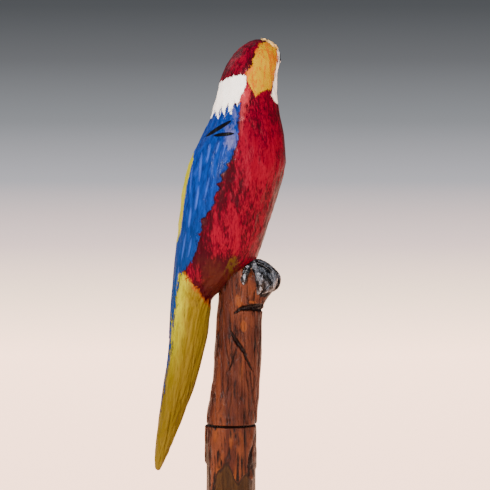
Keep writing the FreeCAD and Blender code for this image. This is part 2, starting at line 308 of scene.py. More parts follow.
birdForm = {
    # height above the ring, back x, front x, half width along y, shift along y, widening to the back
    "rings": np.array([
        (-25.3, -39.6, -39.2, 0.2, 0.0, 0.0), (-24.9, -40.6, -38.2, 1.0, 0.0, 0.0),
        (-22.5, -41.7, -36.9, 2.6, 0.0, 0.1), (-14.0, -41.4, -32.9, 4.4, 0.0, 0.3),
        (-5.4, -40.5, -29.2, 5.8, 0.0, 0.4), (3.2, -39.4, -25.9, 6.9, 0.0, 0.4),
        (11.9, -38.3, -22.4, 7.8, 0.0, 0.4), (20.5, -37.0, -19.3, 8.6, 0.0, 0.4),
        (33.5, -35.0, -15.6, 9.6, 0.0, 0.4), (46.5, -33.8, -12.6, 10.5, 0.0, 0.35),
        (57.0, -32.9, -11.2, 11.4, 0.0, 0.3), (66.0, -32.1, -9.6, 12.8, 0.0, 0.25),
        (72.0, -31.4, -5.6, 14.6, 0.0, 0.2), (77.0, -30.9, 1.0, 16.6, 0.0, 0.15),
        (82.0, -30.5, 6.4, 18.6, 0.0, 0.1), (88.0, -30.0, 12.6, 20.4, 0.0, 0.05),
        (94.0, -29.4, 15.4, 21.6, 0.0, 0.0), (102.6, -28.7, 18.4, 22.8, 0.0, 0.0),
        (111.3, -28.1, 21.1, 23.6, 0.0, 0.0), (120.0, -27.1, 23.9, 24.2, 0.0, 0.0),
        (128.5, -25.9, 26.6, 24.5, 0.0, 0.0), (137.2, -23.7, 29.0, 24.4, 0.0, 0.0),
        (145.8, -20.5, 29.6, 23.5, 0.0, 0.0), (154.5, -16.3, 28.7, 21.8, 0.0, 0.0),
        (163.1, -12.2, 27.2, 19.8, 0.2, 0.0), (171.7, -9.2, 25.6, 18.0, 0.7, 0.0),
        (180.4, -7.0, 24.6, 17.0, 1.6, 0.0), (189.0, -4.9, 24.6, 16.6, 3.2, 0.0),
        (196.0, -1.7, 26.1, 16.2, 5.2, 0.0), (202.0, 2.4, 26.0, 14.4, 6.8, 0.0),
        (206.3, 7.4, 23.4, 10.6, 7.4, 0.0), (208.6, 11.6, 19.2, 4.8, 7.6, 0.0),
        (209.0, 15.1, 15.7, 0.3, 7.6, 0.0),
    ]),
    # strokes on the tail: x and height of both ends, half width, depth
    "tailStrokes": [
        (-31.5, 8.0, -33.5, -6.0, 0.5, 0.7), (-28.0, 22.0, -29.6, 12.0, 0.4, 0.5),
        (-24.0, 50.0, -25.8, 36.0, 0.4, 0.4), (-19.0, 46.0, -20.8, 28.0, 0.4, 0.4),
        (-36.8, 14.0, -38.6, -4.0, 0.45, 0.5), (-29.0, 62.0, -30.6, 44.0, 0.4, 0.35)
    ],
    "rows": 290, "columns": 280,
    "tailRows": 250, "tailColumns": 150,
    "facet": 0.22,              # how deep the knife's flats are
    "tailInset": 0.30,          # the tail's surface lies this far inside the rump's
}
headTurn = math.radians(70.0)   # where the beak points, round from +x
headMiddle = np.array([12.2, 5.4])
headDepth = np.array([13.9, 15.7])
eyeTurn = math.radians(62.0)
eyeHeight = 198.0


def fromBeak(x, y, beyond=0.0):
    # how far round the head a point is from the beak, or from a line that much beyond it
    angle = np.arctan2((y - headMiddle[1]) / headDepth[1], (x - headMiddle[0]) / headDepth[0])
    return (angle - headTurn - beyond + math.pi) % (2 * math.pi) - math.pi


def fromEyes(points):
    # distance to the middle of each eye
    away = []
    for side in (1, -1):
        yaw = headTurn - side * eyeTurn
        spot = [headMiddle[0] + headDepth[0] * math.cos(yaw), headMiddle[1] + headDepth[1] * math.sin(yaw),
                eyeHeight + ringHeight]
        away.append(np.linalg.norm(points - np.array(spot), axis=-1))
    return away


def ringValues(at):
    # the six ring numbers at a fractional ring index
    index = np.arange(len(birdForm["rings"]))
    return [through(index, birdForm["rings"][:, k], at) for k in range(6)]


def ringAtHeight(height):
    return np.interp(height, birdForm["rings"][:, 0], np.arange(len(birdForm["rings"])))


denseRing = np.linspace(0, len(birdForm["rings"]) - 1, 4000)
denseValues = ringValues(denseRing)
denseLength = np.concatenate([[0], np.cumsum(np.hypot(
    np.diff(denseValues[0]), (np.abs(np.diff(denseValues[1])) + np.abs(np.diff(denseValues[2]))) / 2))])


def birdPoints(at, turn):
    # x = middle + depth cos turn; y = shift + width (1 - widening cos turn) sin turn; z = height
    height, back, front, half, shift, widen = ringValues(at)
    x = (back + front) / 2 + (front - back) / 2 * np.cos(turn)
    y = shift + half * (1 - widen * np.cos(turn)) * np.sin(turn)
    return np.stack([x, y, height], -1)


def evenRings(low, high, rows):
    # ring indices evenly spaced along the surface between two heights, which may be arrays
    start = np.interp(ringAtHeight(low), denseRing, denseLength)
    end = np.interp(ringAtHeight(high), denseRing, denseLength)
    length = start + (end - start) * np.linspace(0, 1, rows)[:, None]
    return np.interp(length, denseLength, denseRing)


wing = {
    # where blue ends against the red, and where the wing's rear edge runs: height above the ring, x
    "front": np.array([
        (-30.0, -47.0), (2.0, -41.6), (9.0, -38.2), (27.0, -34.6), (42.7, -32.2), (55.6, -31.2),
        (65.9, -29.7), (72.5, -29.0), (81.3, -27.1), (84.4, -24.2), (89.7, -20.4), (95.3, -18.6),
        (102.9, -17.7), (110.7, -15.6), (115.8, -12.2), (119.4, -9.6), (126.0, -7.4), (134.0, -5.2),
        (139.0, -2.3), (144.2, 0.8), (149.6, 2.9), (159.9, 4.1), (169.0, 4.7), (175.0, 4.7)
    ]),
    "rear": np.array([
        (92.0, -31.0), (98.0, -29.2), (106.0, -27.2), (115.6, -25.9), (128.5, -24.1), (138.5, -21.6),
        (146.0, -19.6), (152.0, -15.6), (158.5, -12.4), (165.0, -8.6), (172.0, -5.0)
    ]),
    "rows": 330, "columns": 110,
    "low": 46.0, "high": 170.0,
    "proud": 0.75,              # how far it stands above the body
    "thick": 2.2,
    # strokes: x and height of both ends, half width, depth
    "slots": [(-13.6, 154.6, 0.6, 162.8, 1.25, 1.9), (-9.4, 154.9, 2.2, 155.7, 1.15, 1.7)],
    "gouges": [
        (-15.2, 147.0, -16.6, 129.6, 0.75, 0.6), (-10.6, 151.0, -12.6, 139.6, 0.75, 0.6),
        (-5.6, 152.0, -8.0, 144.2, 0.7, 0.5), (-16.6, 128.6, -18.6, 115.0, 0.8, 0.6),
        (-20.8, 117.0, -22.4, 105.6, 0.75, 0.55), (-11.0, 133.0, -13.6, 121.0, 0.7, 0.4),
        (-20.4, 140.0, -21.8, 124.0, 0.6, 0.4), (-23.6, 104.0, -26.4, 88.0, 0.7, 0.45),
        (-20.6, 101.0, -22.6, 90.0, 0.6, 0.4), (-27.6, 86.0, -29.4, 70.0, 0.7, 0.4),
        (-2.4, 150.0, -5.0, 141.0, 0.6, 0.35)
    ],
}


def wingFront(height):
    return np.interp(height, wing["front"][:, 0], wing["front"][:, 1])


def wingLobes(height):
    # rounded feather ends: how far they swell over the red, most in the middle of the wing
    swell = 2.2 * np.abs(np.sin(height * 0.42 + 1.3 * np.sin(height * 0.19))) + 0.4 * np.sin(height * 1.7)
    return swell * unit((height - 92) / 14) * unit((146 - height) / 10)


def wingRear(height):
    return np.interp(height, wing["rear"][:, 0], wing["rear"][:, 1])


# outlines of painted patches, seen from the bird's right side: x and height above the ring
patches = {
    "nape": [
        (-16, 184.6), (-5.4, 184.8), (2.0, 187.0), (6.4, 187.3), (8.3, 186.6), (8.3, 182.0),
        (6.5, 178.1), (4.4, 174.0), (3.4, 170.0), (1.8, 174.4), (-0.2, 166.0), (-1.8, 171.6),
        (-3.2, 164.2), (-5.2, 170.6), (-6.8, 164.8), (-8.6, 169.4), (-10.4, 164.8), (-16, 166.0)
    ],
    "farNape": [
        (-16, 185.6), (-4.0, 186.4), (2.0, 187.0), (4.0, 182.0), (2.6, 174.0), (0.4, 167.4),
        (-1.4, 171.0), (-3.6, 165.4), (-6.0, 169.6), (-8.0, 165.0), (-10.4, 168.8), (-16, 166.0)
    ],
    "yellow": [
        (15.7, 205.2), (14.0, 200.9), (11.9, 196.0), (11.2, 192.3), (8.7, 188.7), (8.5, 184.9),
        (10.5, 180.6), (13.2, 176.6), (16.7, 179.0), (21.0, 180.2), (22.6, 183.2), (23.4, 187.9),
        (24.2, 193.6), (25.2, 200.0), (25.0, 205.5), (21.1, 206.9)
    ],
    "farYellow": [
        (-8, 190.0), (-6, 202.0), (4.0, 207.0), (7.0, 203.0), (3.0, 196.0), (1.6, 189.0), (2.6, 182.0),
        (-1.0, 178.0), (-4.0, 182.0)
    ],
    "chin": [
        (25.4, 204.4), (25.7, 197.0), (24.6, 192.4), (23.8, 188.0), (22.9, 183.0), (21.6, 176.6),
        (24.4, 173.4), (32, 173.0), (32, 206.0)
    ],
    "cream": [
        (15.4, 212.0), (16.6, 208.2), (19.6, 207.4), (21.4, 205.4), (23.6, 203.8), (26.4, 204.0),
        (28.0, 212.0)
    ],
    "pink": [
        (3.4, 168.0), (3.6, 174.0), (6.4, 179.5), (10.4, 180.0), (11.0, 175.0), (8.4, 170.0),
        (4.6, 156.0), (3.4, 156.0)
    ],
    "peach": [
        (11.6, 194.0), (8.2, 189.4), (8.0, 184.6), (9.4, 184.0), (10.4, 188.0), (12.6, 192.0)
    ],
    "thigh": [
        (-0.4, 92.5), (3.0, 93.0), (4.4, 86.0), (1.4, 82.0), (-1.6, 80.0), (-2.6, 86.0)
    ],
    "lavender": [(-3.6, 161.0), (2.4, 161.4), (3.6, 150.0), (0.4, 145.6), (-4.0, 150.0)],
    "paleEdge": [(-0.6, 174.0), (3.4, 174.0), (4.4, 160.0), (1.6, 160.0)],
}


def wornCrown(x, y, h):
    # where the paint has chipped off the crown: a strip over the brow, narrow from side to side
    aside = 0.4 * np.clip(-y - 4, 0, 9) + 0.6 * np.clip(np.abs(y - 2) - 5, 0, 14)
    return outlineDistance(x, h, patches["cream"]) - aside


def paintFields(points):
    # what the paint reads: millimetres inside each painted region, negative outside; also how far off
    # the eyes and the lines on the face are, how deep the strokes are cut, and how much painted shade darkens
    # the red
    x, y, h = placeOf(points)
    shift = ringValues(ringAtHeight(h))[4]
    near = y < shift + 0.5
    inside = {name: outlineDistance(x, h, outline) for name, outline in patches.items()}
    yaw = fromBeak(x, y, math.radians(6.0))
    face = 15 * (1 - np.hypot(yaw / math.radians(80.0), (h - 188.0) / 16.4))
    band = np.minimum(np.minimum(h - 174.5, 203.5 - h), 12 * (math.radians(-36) - yaw))
    face = np.where(near, -9, np.maximum(face, band))
    face = np.maximum(face, np.where(near, inside["chin"], -9))
    farYellow = np.minimum(inside["farYellow"], 0.8 * (y - shift - 4.5))
    blue = np.minimum(0.8 * (wingFront(h) + wingLobes(h) - x), 171.5 - h)
    bow = 0.045 * y**2
    back = np.minimum(np.minimum(0.9 * (wingRear(h) + 0.5 - x), 146.8 - h - bow), h - 97.0 - bow)
    tail = 66.0 - h + 1.36 * np.clip(-13.0 - x, -3, 40)
    front = ringValues(ringAtHeight(h))[2]
    # painted shade on the red: darker toward the front edge, over the crown, along the blue's edge, and low
    # on the body above the perch
    dusk = unit((x - front + 5.5) / 5) * (h > 96) * 0.7
    dusk = dusk + 0.55 * unit((h - 184) / 4) + 0.6 * unit(1 - np.abs(blue + 2.5) / 3.5)
    dusk = dusk + 2.2 * unit((x + 20) / 10) * unit((93 - 0.5 * x - h) / 14)
    dusk = dusk + 0.9 * unit((100 - 0.4 * x - h) / 16)
    lines = np.abs((h - 187.0 + 5.0 * yaw**2) / 3.4 % 1 - 0.5)
    lines = np.where((face > 2.5) & ~near, lines, 1.0)
    fields = {name: np.where(near, inside[name], -9) for name in ("thigh", "pink", "peach")}
    fields.update({
        "nape": np.where(near, inside["nape"], inside["farNape"]),
        "yellow": np.where(near, inside["yellow"], farYellow),
        "lavender": np.where(near, np.maximum(inside["lavender"], inside["paleEdge"]), -9),
        "face": face, "faceLine": lines, "cream": wornCrown(x, y, h), "eyeRim": np.minimum(*fromEyes(points)),
        "blue": blue, "back": back, "tail": tail, "dusk": dusk, "strip": 0.9 * (wingFront(h) - x) - 0.4,
        "slot": strokeDepth(x, h, wing["slots"]) * (blue > -2),
        "gouge": strokeDepth(x, h, wing["gouges"]) * (blue > 0),
    })
    return fields


# colours of the paints
paint = {
    "crimson": (0.114, 0.0001, 0.0092, 1), "brightRed": (0.158, 0.0002, 0.0112, 1),
    "darkRed": (0.026, 0.0008, 0.0036, 1), "white": (0.88, 0.88, 0.84, 1), "grey": (0.52, 0.53, 0.52, 1),
    "pink": (0.36, 0.035, 0.045, 1), "yellow": (0.34, 0.205, 0.0001, 1),
    "orange": (0.33, 0.088, 0.0001, 1), "peach": (0.42, 0.075, 0.008, 1),
    "blue": (0.0040, 0.0360, 0.245, 1), "paleBlue": (0.035, 0.090, 0.42, 1),
    "deepBlue": (0.0012, 0.0110, 0.090, 1), "lavender": (0.10, 0.10, 0.22, 1),
    "teal": (0.0008, 0.022, 0.080, 1),
    "lemon": (0.27, 0.275, 0.0001, 1), "ochre": (0.098, 0.069, 0.002, 1),
    "paleOchre": (0.150, 0.110, 0.010, 1), "olive": (0.050, 0.032, 0.003, 1),
    "black": (0.0022, 0.0022, 0.003, 1), "cream": (0.70, 0.43, 0.14, 1),
}


def macawPaint():
    # brushed paint in patches: each patch's distance, made ragged by noise, mixes it over the last
    material, sheet = newMaterial("macawPaint")
    brush = stretched(sheet, (1, 1, 0.22), (0.0, 0.12, 0.0))
    fleck = noise(brush, 1500, 4, 0.65)
    streak = noise(brush, 520, 4, 0.6, 0.3)
    broad = drawn(sheet, 0.4, 90, 3, 0.5)
    ragged = streak * 3.2 + fleck * 2.6

    # the painted shade darkens the red, and where it is deepest, low above the perch, turns it brown
    dusk = field(sheet, "dusk")
    fall = drawn(sheet, 0.16, 190, 3, 0.55, 0.4, turn=(0.0, 0.12, 0.0))
    red = layered(
        paint["darkRed"],
        ((streak + fleck * 0.9 + broad * 0.7 + fall * 1.0 - dusk * 0.17).edge(0.36, 0.66), paint["crimson"]),
        ((fleck * 1.0 + broad * 0.6 + fall * 0.6 - dusk * 0.1).edge(0.24, 0.34), paint["brightRed"]),
        ((dusk - 2.4 + broad * 3.0 + streak * 4.0).edge(1.6, 0.4) * 0.8, wood["redBrown"]))

    grain = drawn(sheet, 0.06, 420, 4, 0.6, turn=(0.0, 0.16, 0.0))
    vein = drawn(sheet, 0.05, 700, 2, turn=(0.0, 0.16, 0.0))
    place = sheet.node("ShaderNodeTexCoord", out=3)
    high = sheet.node("ShaderNodeSeparateXYZ", {}, {0: place}, out=2)
    upper = (high - (ringHeight + 38) * mm).edge(0.05, 0.5)
    bright = (field(sheet, "strip") + 7.0 + ragged * 2.5).edge(6.0, 0.2) * upper
    ochre = layered(
        paint["ochre"],
        ((grain + broad * 0.4).edge(0.20, 0.5), paint["paleOchre"]),
        ((vein - 0.14).edge(0.12, 0.1), paint["olive"]),
        ((bright + grain * 0.8).edge(0.7, 0.15) * bright, paint["lemon"]),
        ((1.0 - upper) * (0.35 + grain), paint["olive"]))

    pale = drawn(sheet, 0.5, 60, 2)
    low = (high * -1.0 + (ringHeight + 100) * mm).edge(0.05, 0.5)
    cloudy = (field(sheet, "lavender") - 0.8 + ragged * 2.6 + broad * 4.0).edge(2.6, 0.3)
    blue = layered(
        paint["deepBlue"],
        ((streak + fleck * 0.5).edge(0.40, 0.40), paint["blue"]),
        ((pale + streak * 0.4 - 0.16).edge(0.40, 0.1) * 0.6, paint["paleBlue"]),
        (low * 0.75, paint["teal"]),
        # the gouged strokes are painted pale blue: partly pale paint, partly a painted highlight for the
        # light they catch
        (field(sheet, "gouge").edge(0.5, -0.1) * 0.75, paint["paleBlue"]),
        (cloudy * 0.62, paint["lavender"]))

    lit = (high * -1.0 + (ringHeight + 187) * mm).edge(0.02, 0.5)
    gold = layered(
        paint["yellow"],
        ((streak * 1.4 + fleck * 1.2 + broad * 1.2 - lit * 0.14).edge(0.14, 0.40), paint["orange"]),
        ((fleck * 1.2 + broad - 0.2 + lit * 0.12).edge(0.16, 0.1) * 0.7, paint["lemon"]),
        ((field(sheet, "peach") + ragged * 0.8).edge(1.6, 0.3) * 0.8, paint["peach"]))
    strip = mixColours((streak + broad - 0.1).edge(0.3, 0.2) * 0.5, paint["lemon"], paint["yellow"])
    white = mixColours((streak * 0.6 + broad * 0.4 - 0.05).edge(0.5, 0.15), paint["white"], paint["grey"])

    tail, eyeRim = field(sheet, "tail"), field(sheet, "eyeRim")
    smear = (field(sheet, "pink") + ragged * 2.4 + broad * 3.0).edge(3.0, 0.3)
    frayed = low * (streak * 2.5 + fleck * 4.0)
    bound = field(sheet, "blue") + (streak * 3.0 + fleck * 2.2 + broad * 3.0) + frayed
    colour = layered(
        red,
        ((tail + 1.2 + ragged * 3.4).edge(2.2, 0.5) * 0.5, paint["orange"]),
        ((tail - 0.8 + ragged * 3.2).edge(1.6, 0.5), ochre),
        (smear * 0.6, paint["pink"]),
        ((bound + 0.6).edge(0.8, 0.5) * 0.85, paint["black"]),
        (bound.edge(0.6, 0.5), blue),
        ((field(sheet, "back") + ragged * 0.5).edge(0.6, 0.5), strip),
        ((field(sheet, "nape") + ragged * 1.3).edge(0.6, 0.5), white),
        ((field(sheet, "yellow") + 0.3 + ragged * 1.4).edge(0.6, 0.5), gold),
        ((field(sheet, "face") + ragged * 0.9).edge(0.7, 0.5), white),
        ((0.07 - field(sheet, "faceLine") + fleck * 0.05).edge(0.05, 0.5), paint["black"]),
        ((field(sheet, "cream") + ragged * 0.9).edge(0.8, 0.5), paint["cream"]),
        ((4.3 - eyeRim + fleck * 0.8).edge(0.4, 0.5), paint["black"]),
        ((3.0 - eyeRim).edge(0.3, 0.5), paint["lemon"]),
        ((field(sheet, "thigh") - 0.9 + ragged * 4.6).edge(2.0, 0.4) * 0.75, paint["olive"]),
        ((field(sheet, "slot") - 0.35).edge(0.4, 0.3), paint["black"]))

    rough = 0.42 + streak * 0.22 + broad * 0.10
    height = streak * 0.9 + fleck * 0.5 + broad * 0.6
    finishMaterial(sheet, {"Coat Roughness": 0.12, "Specular IOR Level": 0.03}, colour, rough, height,
                   0.00022, (0.02 + fleck * 0.3).edge(1.0, 0.0))
    return material


# stains on the bark and the peeled wood
wood = {
    "rust": (0.096, 0.0240, 0.0088, 1), "redBrown": (0.042, 0.0092, 0.0048, 1),
    "dark": (0.0058, 0.0022, 0.0018, 1),
    "amber": (0.150, 0.038, 0.006, 1), "peeled": (0.020, 0.0085, 0.0021, 1),
    "peeledPale": (0.043, 0.0185, 0.0045, 1),
}


def brushMarks(sheet, turn):
    # flat facets under worn paint, and scratches across them
    facet = drawn(sheet, 0.6, 240, 2, 0.5, turn=(0.4, 0.5, 0.0))
    scratch = drawn(sheet, 0.3, 430, 3, 0.6, 1.6, turn=turn)
    return facet, (scratch.size() * -1.0).edge(0.03, 0.6)


def barkWood():
    # stained bark: rust ridges, near-black grooves, amber where the knife went through
    material, sheet = newMaterial("barkWood")
    long = stretched(sheet, (1, 1, 0.14))
    grain = noise(long, 700, 5, 0.65, 0.6)
    fine = drawn(sheet, 0.35, 1700, 4, 0.7)
    broad = drawn(sheet, 0.30, 130, 3, 0.55, 0.5)
    tall = drawn(sheet, 0.10, 150, 3, 0.5, 0.4)
    warm = drawn(sheet, 0.08, 210, 3, 0.6)
    peel = field(sheet, "peeled") + grain * 5.0 + broad * 4.0
    bare = layered(
        wood["peeled"],
        ((drawn(sheet, 0.05, 380, 4, 0.6) + broad * 0.9).edge(0.25, 0.5), wood["peeledPale"]),
        ((grain * -1.0 - 0.06 + fine * 0.3).edge(0.12, 0.2) * 0.6, wood["dark"]))
    facet, scratch = brushMarks(sheet, (0.5, 0.6, 0.0))
    foot = layered(
        paint["black"],
        ((facet - 0.02).edge(0.05, 0.5), (0.030, 0.036, 0.046, 1)),
        (scratch * (facet - 0.04).edge(0.1, 0.5), (0.34, 0.35, 0.38, 1)))
    # a painted highlight: pale cream strokes on top of the knob by the ankle
    worn = (field(sheet, "worn") - 1.9 + fine * 1.6 + grain * 1.2).edge(0.5, 0.3) * 0.85
    colour = layered(
        wood["redBrown"],
        ((grain * 0.8 + fine * 0.5 + broad * 0.7 + tall * 1.4).edge(0.34, 0.42), wood["rust"]),
        ((warm + fine * 0.3 - 0.14).edge(0.20, 0.1) * 0.7, wood["amber"]),
        ((grain * -1.0 + broad * -0.5 + fine * 0.3 - 0.05).edge(0.14, 0.2) * 0.9, wood["dark"]),
        (peel.edge(1.5, 0.5), bare),
        ((1.0 - peel.size() * 0.7).edge(0.8, 0.3) * 0.8, wood["dark"]),
        ((field(sheet, "amber") + broad * 3.0 + grain * 4.0).edge(1.8, 0.4) * 0.75, wood["amber"]),
        ((field(sheet, "groove") + fine * 0.5 + grain * 0.4).edge(0.45, 0.1), wood["dark"]),
        ((field(sheet, "footPaint") + fine * 1.5 + grain * 1.2).edge(0.7, 0.5), foot),
        (worn, (0.52, 0.42, 0.33, 1)))
    rough = 0.36 + grain * 0.30 + broad * 0.15
    height = grain * 1.0 + fine * 0.45
    finishMaterial(sheet, {"Coat Roughness": 0.25, "Specular IOR Level": 0.08}, colour, rough, height,
                   0.0005, (0.04 + broad * 0.15).edge(1.0, 0.0))
    return material


def footPaint():
    material, sheet = newMaterial("footPaint")
    streak = drawn(sheet, 0.6, 620, 3, 0.6, 0.5)
    fleck = drawn(sheet, 1, 1400, 3, 0.6)
    # lighter along each toe's outer crest: pale grey dry-brush and bluish facets, partly a painted highlight
    ridge = field(sheet, "ridge")
    facet, scratch = brushMarks(sheet, (0.6, 0.5, 0.4))
    colour = layered(
        paint["black"],
        ((facet + ridge * 0.06 - 0.04).edge(0.05, 0.5), (0.034, 0.040, 0.052, 1)),
        ((ridge + streak * 2.6 + fleck - 1.06).edge(0.10, 0.2) * 0.9, (0.20, 0.22, 0.26, 1)),
        (scratch * (facet + ridge * 0.05 - 0.04).edge(0.1, 0.5), (0.46, 0.46, 0.48, 1)),
        ((streak + fleck - 0.36).edge(0.06, 0.0), (0.12, 0.035, 0.008, 1)))
    finishMaterial(sheet, {"Coat Roughness": 0.15, "Coat Weight": 0.12, "Specular IOR Level": 0.15}, colour,
                   0.30 + streak * 0.3, streak + fleck * 0.6, 0.0004)
    return material


def beakPaint(name, under, over, tip):
    # a horn colour, streaked, darker where the field says its tip or edge is
    material, sheet = newMaterial(name)
    streak = drawn(sheet, 0.4, 500, 4, 0.6)
    fleck = drawn(sheet, 1, 1200, 3, 0.6)
    colour = mixColours((streak + 0.1).edge(0.5, 0.4), under, over)
    colour = mixColours((field(sheet, "tip") + streak * 0.6).edge(0.12, 0.5), colour, tip)
    finishMaterial(sheet, {"Coat Roughness": 0.18, "Coat Weight": 0.45}, colour, 0.30 + streak * 0.2,
                   streak + fleck * 0.5, 0.00025)
    return material


def plainStock(name, under, over, scale, squash, rough, metal=0.0, shine=0.5):
    # turned, moulded or sawn stock with a fine grain in its colour, roughness and height
    material, sheet = newMaterial(name)
    grain = noise(stretched(sheet, squash), scale, 4, 0.6)
    colour = mixColours(grain.edge(0.4, 0.5), under, over)
    settings = {"Metallic": metal, "Specular IOR Level": shine}
    finishMaterial(sheet, settings, colour, rough + grain * 0.25, grain, 0.00015)
    return material


def eyeGlass():
    material, sheet = newMaterial("eyeGlass")
    cloud = drawn(sheet, 1, 900, 3, 0.6)
    colour = mixColours(cloud.edge(0.5, 0.5), (0.004, 0.004, 0.005, 1), (0.020, 0.012, 0.008, 1))
    finishMaterial(sheet, {"Coat Weight": 1.0, "Coat Roughness": 0.02}, colour, 0.06 + cloud * 0.04,
                   cloud, 0.00002)
    return material


def carveBird(points):
    # knife flats all over, a cere round the beak, sockets round the eyes
    x, y, h = placeOf(points)
    flats = -np.abs(ripple(points, (11, 11, 18), 4)) * birdForm["facet"] * 1.6
    flats += 0.10 * ripple(points, (3, 3, 9), 5)
    yaw = fromBeak(x, y)
    cere = 1.6 * np.exp(-(yaw / 0.42)**2 - ((h - 195.5) / 6.5)**2)
    cheek = 0.9 * np.exp(-((np.abs(yaw) - 0.95) / 0.35)**2 - ((h - 186.0) / 7.0)**2)
    socket = 0.0
    for away in fromEyes(points):
        socket = socket + 0.55 * bell(away - 3.4, 0.8) - 0.3 * bell(away, 2.2)
    # here it is wear alone: chips where the paint came off the crown
    worn = unit(wornCrown(x, y, h) + 0.8)
    chips = worn * (0.05 + 0.62 * np.clip(ripple(points, (1.3, 1.3, 1.3), 8), -0.4, 1.3))
    return flats + cere + cheek + socket + chips


def rumpCut(turn):
    # the saw cut behind the rump slants down from the back to the perch
    return 72.5 - 9.5 * np.cos(turn)


def makeBody(material):
    turn = around(birdForm["columns"])
    jag = 1.1 * np.sin(9 * turn + 1.0) + 0.8 * np.sin(17 * turn)
    at = evenRings(rumpCut(turn) + jag, crownHeight, birdForm["rows"])
    points = lift(birdPoints(at, turn + 0 * at))
    normals = gridNormals(points)
    offset = carveBird(points)
    share = np.linspace(0, 1, birdForm["rows"])[:, None]
    offset = offset + 0.25 - 2.0 * unit(1 - share / 0.010)**2   # the lower lip rolls in
    offset = offset - 2.6 * unit(1 - share / 0.075)**1.5 * unit(np.cos(turn) + 0.55)
    points = points + normals * offset[..., None]
    piece, verts = buildTube("macawBody", points)
    setFields(piece, paintFields(verts))
    return finishPiece(piece, "topper", "red_paint", material, "macaw_body")


def makeTail(material):
    # the same form, a little smaller, from its tip up into the rump; its top closes inside the body
    turn = around(birdForm["tailColumns"])
    top = rumpCut(turn) + 7.0
    at = evenRings(-25.3, top, birdForm["tailRows"])
    points = lift(birdPoints(at, turn + 0 * at))
    normals = gridNormals(points)
    x, _, h = placeOf(points)
    inset = -birdForm["tailInset"] - 1.6 * unit((h - rumpCut(turn)) / 6.0)
    along = points - 0.20 * np.array([1.0, 0, 0]) * (h[..., None] - 30)
    grooves = -0.28 * np.abs(ripple(along, (3.2, 3.2, 60), 11)) + 0.16 * ripple(along, (1.7, 1.7, 40), 12)
    grooves -= strokeDepth(x, h, birdForm["tailStrokes"])
    offset = inset + grooves * unit((h + 25) / 3)
    points = points + normals * offset[..., None]
    piece, verts = buildTube("tailBoard", points)
    setFields(piece, paintFields(verts))
    return finishPiece(piece, "topper", "ochre_paint", material, "tail_board")


def makeWing(name, side, material, node):
    # rows run up the wing, columns from the red edge to the back; the outer skin stands proud in the
    # middle and dives under the body's surface at its rim, and an inner skin closes it
    rows, columns = wing["rows"], wing["columns"]
    height = np.linspace(wing["low"], wing["high"], rows)[:, None]
    t = (0.5 - 0.5 * np.cos(np.linspace(0, math.pi, columns)))[None, :]
    at = ringAtHeight(height)
    _, back, front, _, _, _ = ringValues(at)
    middle, depth = (back + front) / 2, (front - back) / 2
    frontX = wingFront(height) + wingLobes(height)
    rearX = wingRear(height)
    frontTurn = np.arccos(np.clip((frontX - middle) / depth, -0.999, 1))
    rearTurn = np.where(height < 92, math.pi - 0.03,
                        np.arccos(np.clip((rearX - middle) / depth, -0.9995, 1)))
    rearTurn = np.maximum(rearTurn, frontTurn + 0.02)
    point = unit((wing["low"] + 20 - height) / 20)**1.6 * 0.96     # the wing runs out in a point
    frontTurn = frontTurn + (rearTurn - frontTurn) * point
    turn = (frontTurn + (rearTurn - frontTurn) * t) * -1.0
    points = lift(birdPoints(at + 0 * turn, turn))
    normals = -gridNormals(points, wrap=False)
    x, _, h = placeOf(points)
    rim = np.minimum(t, 1 - t) * np.abs(rearTurn - frontTurn) * 20.0     # mm in from the nearer edge
    ends = np.minimum(height - wing["low"], (wing["high"] - height) * 0.35)
    rim = np.minimum(rim, ends)
    proud = wing["proud"] * unit((166 - h) / 14) * np.clip((h - wing["low"]) / 26, 0.1, 1)
    lifted = unit(rim / 1.1)
    lifted = np.sqrt(unit(1 - (1 - lifted)**2))
    offset = -0.5 + (proud + 0.5) * lifted
    offset = offset - 0.25 * np.abs(ripple(points, (4, 4, 26), 21 + side)) * lifted
    feather = np.abs(((t * 4.5 + (h - 60) / 95.0) % 1.0) - 0.5) * 2      # long vanes with sunk joints
    offset = offset - 0.35 * unit(1 - feather / 0.12) * lifted * unit((140 - h) / 20)
    offset = offset - strokeDepth(x, h, wing["slots"]) - strokeDepth(x, h, wing["gouges"])
    outer = points + normals * offset[..., None]
    inner = points - normals * wing["thick"]
    count = rows * columns
    faces = gridFaces(rows, columns, wrap=False)
    index = np.arange(count).reshape(rows, columns)
    edge = np.concatenate([index[0, :-1], index[:-1, -1], index[-1, :0:-1], index[:0:-1, 0]])
    after = np.roll(edge, -1)
    wall = np.stack([edge, after, after + count, edge + count], -1)
    # outer columns run clockwise from outside on the right wing, so its faces turn round
    shell = np.vstack([faces[:, ::-1], faces + count, wall])
    verts = np.vstack([outer.reshape(-1, 3), inner.reshape(-1, 3)])
    if side > 0:
        verts = verts * np.array([1, -1, 1])
        shell = shell[:, ::-1]
    piece = buildMesh(name, verts, shell)
    setFields(piece, paintFields(verts))
    return finishPiece(piece, "topper", "blue_paint", material, node)


beak = {
    # stops: forward from the head's middle, height above the ring, half height, half width, tilt in degrees
    "upper": np.array([
        (10.0, 197.0, 7.6, 7.0, 0), (13.5, 197.6, 7.3, 6.6, 5), (17.2, 197.4, 6.7, 5.8, 15),
        (21.4, 194.2, 5.4, 4.6, 45), (23.6, 188.2, 3.9, 3.3, 78), (23.3, 181.8, 2.4, 2.0, 98),
        (22.0, 177.2, 1.2, 1.0, 108), (21.3, 175.4, 0.3, 0.3, 112)
    ]),
    "lower": np.array([
        (10.5, 187.4, 3.8, 4.8, 0), (15.4, 186.4, 3.1, 3.9, 20), (18.2, 183.6, 2.0, 2.7, 50),
        (19.2, 181.2, 1.0, 1.4, 68), (19.5, 180.2, 0.3, 0.4, 74)
    ]),
    "rows": 90, "columns": 72,
}


